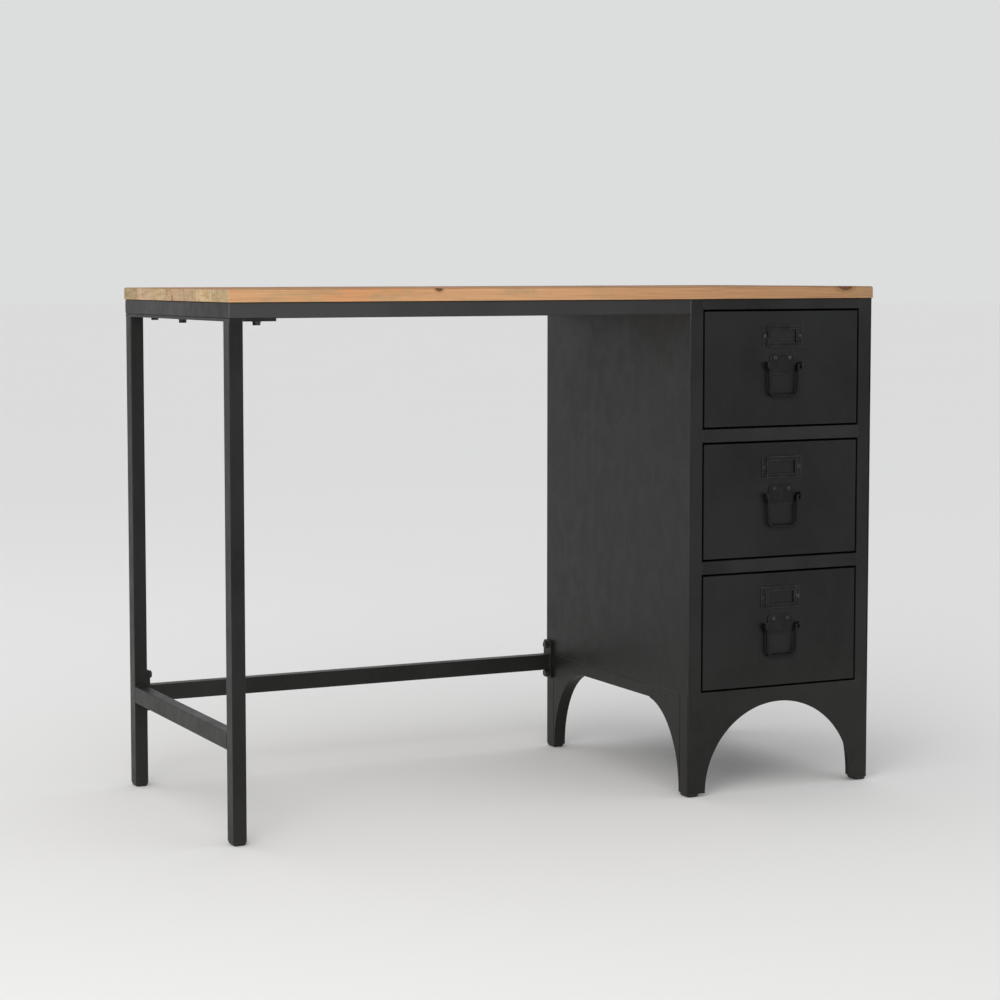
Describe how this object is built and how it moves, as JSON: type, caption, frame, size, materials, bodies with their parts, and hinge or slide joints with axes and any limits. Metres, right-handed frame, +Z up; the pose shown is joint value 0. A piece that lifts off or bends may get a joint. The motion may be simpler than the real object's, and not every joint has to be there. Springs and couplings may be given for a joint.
{
  "type": "writing desk",
  "caption": "Writing desk with a glued board worktop on a slim steel tube frame, an open trestle on the left and an arched-base steel cabinet of drawers with drop pulls on the right.",
  "frame": {"origin": "on the floor, at the centre of the box around the whole desk with its handles", "axes": "+X along the desk from the open trestle to the drawer cabinet, +Y from front to back, +Z up"},
  "size_m": [1.044, 0.4676, 0.762],
  "materials": {
    "wood": "clear-waxed softwood with visible grain",
    "frame_steel": "satin charcoal lacquer over steel",
    "drawer_steel": "satin charcoal lacquer over sheet steel",
    "pull_metal": "satin black lacquer over cast and bent steel",
    "runner_steel": "zinc-plated sheet",
    "fastener_steel": "blackened steel",
    "foot_plastic": "moulded black plastic"
  },
  "bodies": {
    "desk": {"top_board_1": "wood", "top_board_2": "wood", "top_board_3": "wood", "top_board_4": "wood", "top_board_5": "wood", "top_board_6": "wood", "top_board_7": "wood", "apron_front": "frame_steel", "apron_back": "frame_steel", "apron_left": "frame_steel", "leg_front_left": "frame_steel", "leg_back_left": "frame_steel", "leg_strip": "frame_steel", "leg_tabs": "frame_steel", "side_stretcher": "frame_steel", "back_stretcher": "frame_steel", "stretcher_plates": "frame_steel", "cabinet_side_left": "frame_steel", "cabinet_side_right": "frame_steel", "cabinet_back": "frame_steel", "cabinet_floor": "frame_steel", "cabinet_top": "frame_steel", "stile_left": "frame_steel", "stile_right": "frame_steel", "rail_top": "frame_steel", "rail_upper": "frame_steel", "rail_lower": "frame_steel", "base_leg_front_left": "frame_steel", "base_leg_front_right": "frame_steel", "base_leg_back_left": "frame_steel", "base_leg_back_right": "frame_steel", "base_rail_left": "frame_steel", "base_rail_right": "frame_steel", "base_rail_back": "frame_steel", "base_rail_front": "frame_steel", "base_skirt": "frame_steel", "gussets_left": "frame_steel", "gussets_right": "frame_steel", "foot_caps": "foot_plastic", "drawer_runners": "runner_steel", "bolts_and_nuts": "fastener_steel", "top_screws": "fastener_steel"},
    "top_drawer": {"drawer_front_1": "drawer_steel", "drawer_tray_1": "drawer_steel", "label_holder_1": "pull_metal", "pull_plate_1": "pull_metal", "rivets_1": "pull_metal"},
    "top_bail": {"bail_1": "pull_metal"},
    "middle_drawer": {"drawer_front_2": "drawer_steel", "drawer_tray_2": "drawer_steel", "label_holder_2": "pull_metal", "pull_plate_2": "pull_metal", "rivets_2": "pull_metal"},
    "middle_bail": {"bail_2": "pull_metal"},
    "bottom_drawer": {"drawer_front_3": "drawer_steel", "drawer_tray_3": "drawer_steel", "label_holder_3": "pull_metal", "pull_plate_3": "pull_metal", "rivets_3": "pull_metal"},
    "bottom_bail": {"bail_3": "pull_metal"}
  },
  "joints": [
    {"name": "top_drawer_slide", "type": "slide", "parent": "desk", "child": "top_drawer", "axis": [0, -1, 0], "range_m": [0, 0.3]},
    {"name": "middle_drawer_slide", "type": "slide", "parent": "desk", "child": "middle_drawer", "axis": [0, -1, 0], "range_m": [0, 0.3]},
    {"name": "bottom_drawer_slide", "type": "slide", "parent": "desk", "child": "bottom_drawer", "axis": [0, -1, 0], "range_m": [0, 0.3]},
    {"name": "top_bail_hinge", "type": "hinge", "parent": "top_drawer", "child": "top_bail", "pos_m": [0.36, -0.22875, 0.6445], "axis": [-1, 0, 0], "range_deg": [-3, 100]},
    {"name": "middle_bail_hinge", "type": "hinge", "parent": "middle_drawer", "child": "middle_bail", "pos_m": [0.36, -0.22875, 0.4475], "axis": [-1, 0, 0], "range_deg": [-3, 100]},
    {"name": "bottom_bail_hinge", "type": "hinge", "parent": "bottom_drawer", "child": "bottom_bail", "pos_m": [0.36, -0.22875, 0.2505], "axis": [-1, 0, 0], "range_deg": [-3, 100]}
  ]
}
